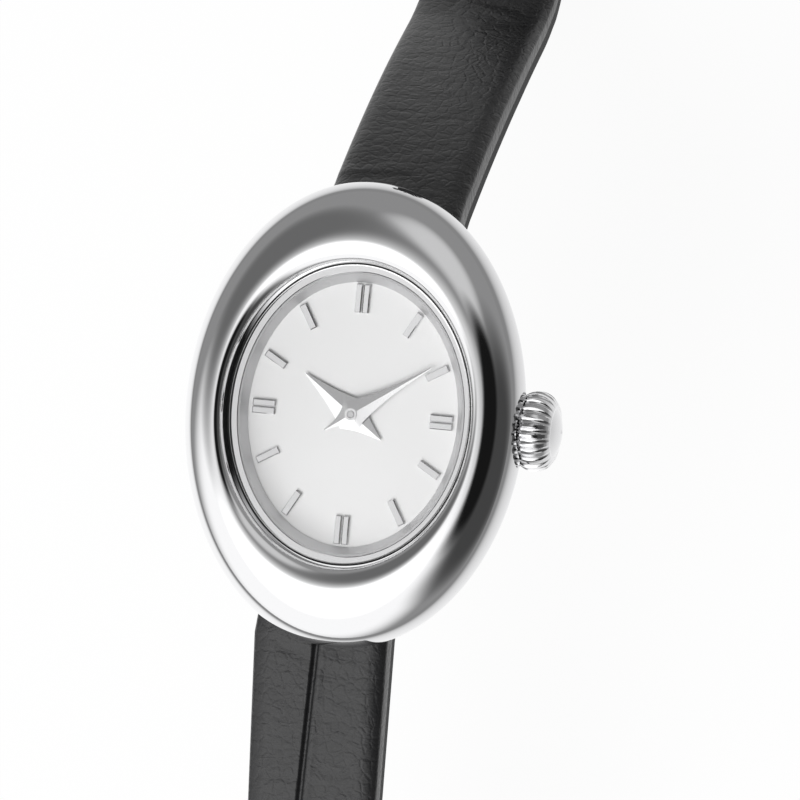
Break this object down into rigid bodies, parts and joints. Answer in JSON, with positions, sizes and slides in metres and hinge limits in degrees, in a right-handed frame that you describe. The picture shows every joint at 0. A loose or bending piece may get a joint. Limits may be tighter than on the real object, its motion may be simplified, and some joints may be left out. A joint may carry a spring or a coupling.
{
  "type": "oval wristwatch",
  "caption": "Oval wristwatch on a two-piece leather strap, with applied hour batons, a fluted crown that pulls out, geared hands, sliding keeper and pin buckle.",
  "frame": {"origin": "centre of the case back's outer flat face", "axes": "+Z out of the dial, +Y towards 12 o'clock, +X towards the crown"},
  "size_m": [0.0263, 0.1877, 0.0367],
  "materials": {
    "polished_steel": "polished stainless steel",
    "satin_steel": "fine satin steel",
    "nickel_plate": "fine grained nickel plating",
    "gilt_brass": "polished brass",
    "copper_wire": "fine enamelled copper wire",
    "white_dial": "matt white lacquer",
    "clear_crystal": "clear polished crystal",
    "black_rubber": "matt black rubber",
    "holder_plastic": "matt white plastic",
    "board_green": "green circuit board",
    "chip_black": "matt black resin",
    "black_leather": "semi-matt black leather with a scale grain",
    "lining_leather": "smooth black lining leather"
  },
  "bodies": {
    "case": {"case_middle": "polished_steel", "case_back": "satin_steel", "case_back_gasket": "black_rubber", "crystal": "clear_crystal", "crystal_gasket": "black_rubber", "rehaut_ring": "satin_steel", "dial": "white_dial", "double_batons": "polished_steel", "single_batons": "polished_steel", "main_plate": "nickel_plate", "train_bridge": "nickel_plate", "movement_screws": "satin_steel", "movement_holder": "holder_plastic", "battery": "satin_steel", "battery_clamp": "satin_steel", "stator": "satin_steel", "coil_core": "satin_steel", "coil_winding": "copper_wire", "circuit_board": "board_green", "oscillator_can": "nickel_plate", "control_chip": "chip_black", "upper_spring_bar": "satin_steel", "lower_spring_bar": "satin_steel", "crown_tube": "satin_steel"},
    "minute_arbor": {"minute_hand": "polished_steel", "cannon_pinion": "satin_steel", "center_wheel": "gilt_brass"},
    "hour_pipe": {"hour_hand": "polished_steel", "hour_wheel": "gilt_brass"},
    "minute_wheel_and_pinion": {"minute_wheel": "gilt_brass"},
    "setting_wheel_alone": {"setting_wheel": "gilt_brass"},
    "third_wheel_and_pinion": {"third_wheel": "gilt_brass"},
    "intermediate_wheel_and_pinion": {"intermediate_wheel": "gilt_brass"},
    "rotor_and_pinion": {"rotor": "satin_steel"},
    "clutch": {"sliding_pinion": "satin_steel"},
    "crown_and_stem": {"crown": "polished_steel", "crown_cap": "polished_steel", "crown_gasket": "black_rubber", "stem": "satin_steel"},
    "lever": {"setting_lever": "satin_steel"},
    "upper_strap": {"upper_strap_top": "black_leather", "upper_strap_lining": "lining_leather", "fixed_keeper": "black_leather"},
    "moving_keeper": {"sliding_keeper": "black_leather"},
    "buckle": {"buckle_frame": "polished_steel", "buckle_bar": "polished_steel"},
    "tongue": {"buckle_tongue": "polished_steel"},
    "lower_strap": {"lower_strap_top": "black_leather", "lower_strap_lining": "lining_leather"}
  },
  "joints": [
    {"name": "minute_hand_turn", "type": "hinge", "parent": "case", "child": "minute_arbor", "pos_m": [0, 0, 0.0043], "axis": [0, 0, -1], "continuous": true},
    {"name": "hour_hand_turn", "type": "hinge", "parent": "case", "child": "hour_pipe", "pos_m": [0, 0, 0.0043], "axis": [0, 0, -1], "continuous": true},
    {"name": "minute_wheel_turn", "type": "hinge", "parent": "case", "child": "minute_wheel_and_pinion", "pos_m": [0.00096, 0.0022, 0.0034], "axis": [0, 0, -1], "continuous": true},
    {"name": "setting_wheel_turn", "type": "hinge", "parent": "case", "child": "setting_wheel_alone", "pos_m": [0.0027, 0, 0.0033], "axis": [0, 0, -1], "continuous": true},
    {"name": "third_wheel_turn", "type": "hinge", "parent": "case", "child": "third_wheel_and_pinion", "pos_m": [0.001, -0.00173, 0.002], "axis": [0, 0, -1], "continuous": true},
    {"name": "intermediate_wheel_turn", "type": "hinge", "parent": "case", "child": "intermediate_wheel_and_pinion", "pos_m": [0.00137, -0.00312, 0.002], "axis": [0, 0, -1], "continuous": true},
    {"name": "rotor_turn", "type": "hinge", "parent": "case", "child": "rotor_and_pinion", "pos_m": [0.00137, -0.00438, 0.002], "axis": [0, 0, -1], "continuous": true},
    {"name": "crown_turn", "type": "hinge", "parent": "case", "child": "clutch", "pos_m": [0.0043, 0, 0.0031], "axis": [1, 0, 0], "continuous": true},
    {"name": "crown_pull", "type": "slide", "parent": "clutch", "child": "crown_and_stem", "axis": [1, 0, 0], "range_m": [0, 0.0008]},
    {"name": "setting_lever_swing", "type": "hinge", "parent": "case", "child": "lever", "pos_m": [0.0056, 0.0017, 0.0036], "axis": [0, 0, 1], "range_deg": [0, 27.3]},
    {"name": "upper_strap_swing", "type": "hinge", "parent": "case", "child": "upper_strap", "pos_m": [0, 0.0116, 0.0013], "axis": [1, 0, 0], "range_deg": [-46, 44]},
    {"name": "lower_strap_swing", "type": "hinge", "parent": "case", "child": "lower_strap", "pos_m": [0, -0.0116, 0.0013], "axis": [1, 0, 0], "range_deg": [-6, 84]},
    {"name": "keeper_slide", "type": "slide", "parent": "upper_strap", "child": "moving_keeper", "axis": [0, 1, 0], "range_m": [-0.009, 0.005]},
    {"name": "buckle_swing", "type": "hinge", "parent": "upper_strap", "child": "buckle", "pos_m": [0.0005, 0.06767, -0.02774], "axis": [1, 0, 0], "range_deg": [-20, 40]},
    {"name": "tongue_swing", "type": "hinge", "parent": "buckle", "child": "tongue", "pos_m": [0.0005, 0.06767, -0.02774], "axis": [1, 0, 0], "range_deg": [0, 65]}
  ],
  "couplings": [
    {"joint": "hour_hand_turn", "follows": "minute_hand_turn", "ratio": 0.083333},
    {"joint": "minute_wheel_turn", "follows": "minute_hand_turn", "ratio": -0.33333},
    {"joint": "setting_wheel_turn", "follows": "minute_hand_turn", "ratio": 0.6},
    {"joint": "third_wheel_turn", "follows": "minute_hand_turn", "ratio": -3},
    {"joint": "intermediate_wheel_turn", "follows": "minute_hand_turn", "ratio": 15},
    {"joint": "rotor_turn", "follows": "minute_hand_turn", "ratio": -90},
    {"joint": "setting_lever_swing", "follows": "crown_pull", "rad_per_m": 593.8}
  ]
}
